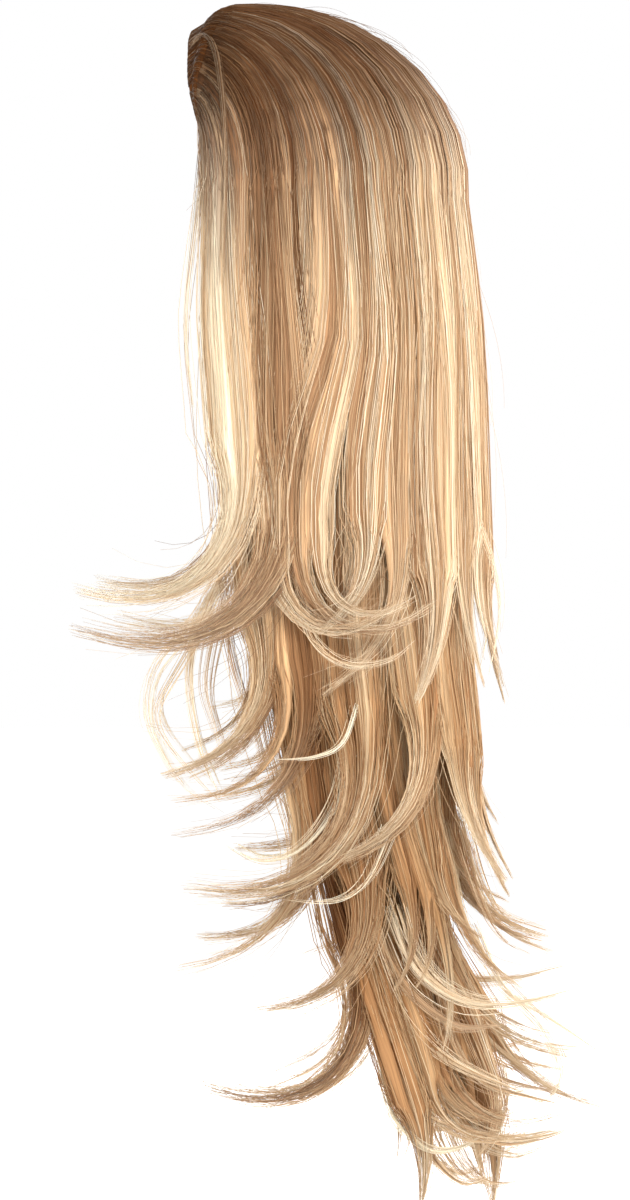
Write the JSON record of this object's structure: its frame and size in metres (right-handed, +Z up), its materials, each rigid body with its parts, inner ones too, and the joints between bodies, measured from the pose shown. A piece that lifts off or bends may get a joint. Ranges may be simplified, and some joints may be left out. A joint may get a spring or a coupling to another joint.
{
  "type": "half wig",
  "caption": "Half wig: a hollow cap with a comb under its front edge and long layered straight hair, combed back over the crown and falling in flicked ends.",
  "frame": {"origin": "inside the crown of the cap, at the point where the top of the head sits", "axes": "+Z up along the hair, -Y to the face opening, +X to the wearer's left"},
  "size_m": [0.2265, 0.2942, 0.673],
  "materials": {
    "hair": "satin",
    "root_hair": "satin",
    "cap_net": "matte",
    "comb_plastic": "satin"
  },
  "bodies": {
    "root": {"cap": "cap_net", "front_roll": "root_hair", "front_comb": "comb_plastic", "crown_layer": "hair", "upper_layer": "hair", "middle_layer": "hair", "nape_layer": "hair"}
  },
  "joints": []
}
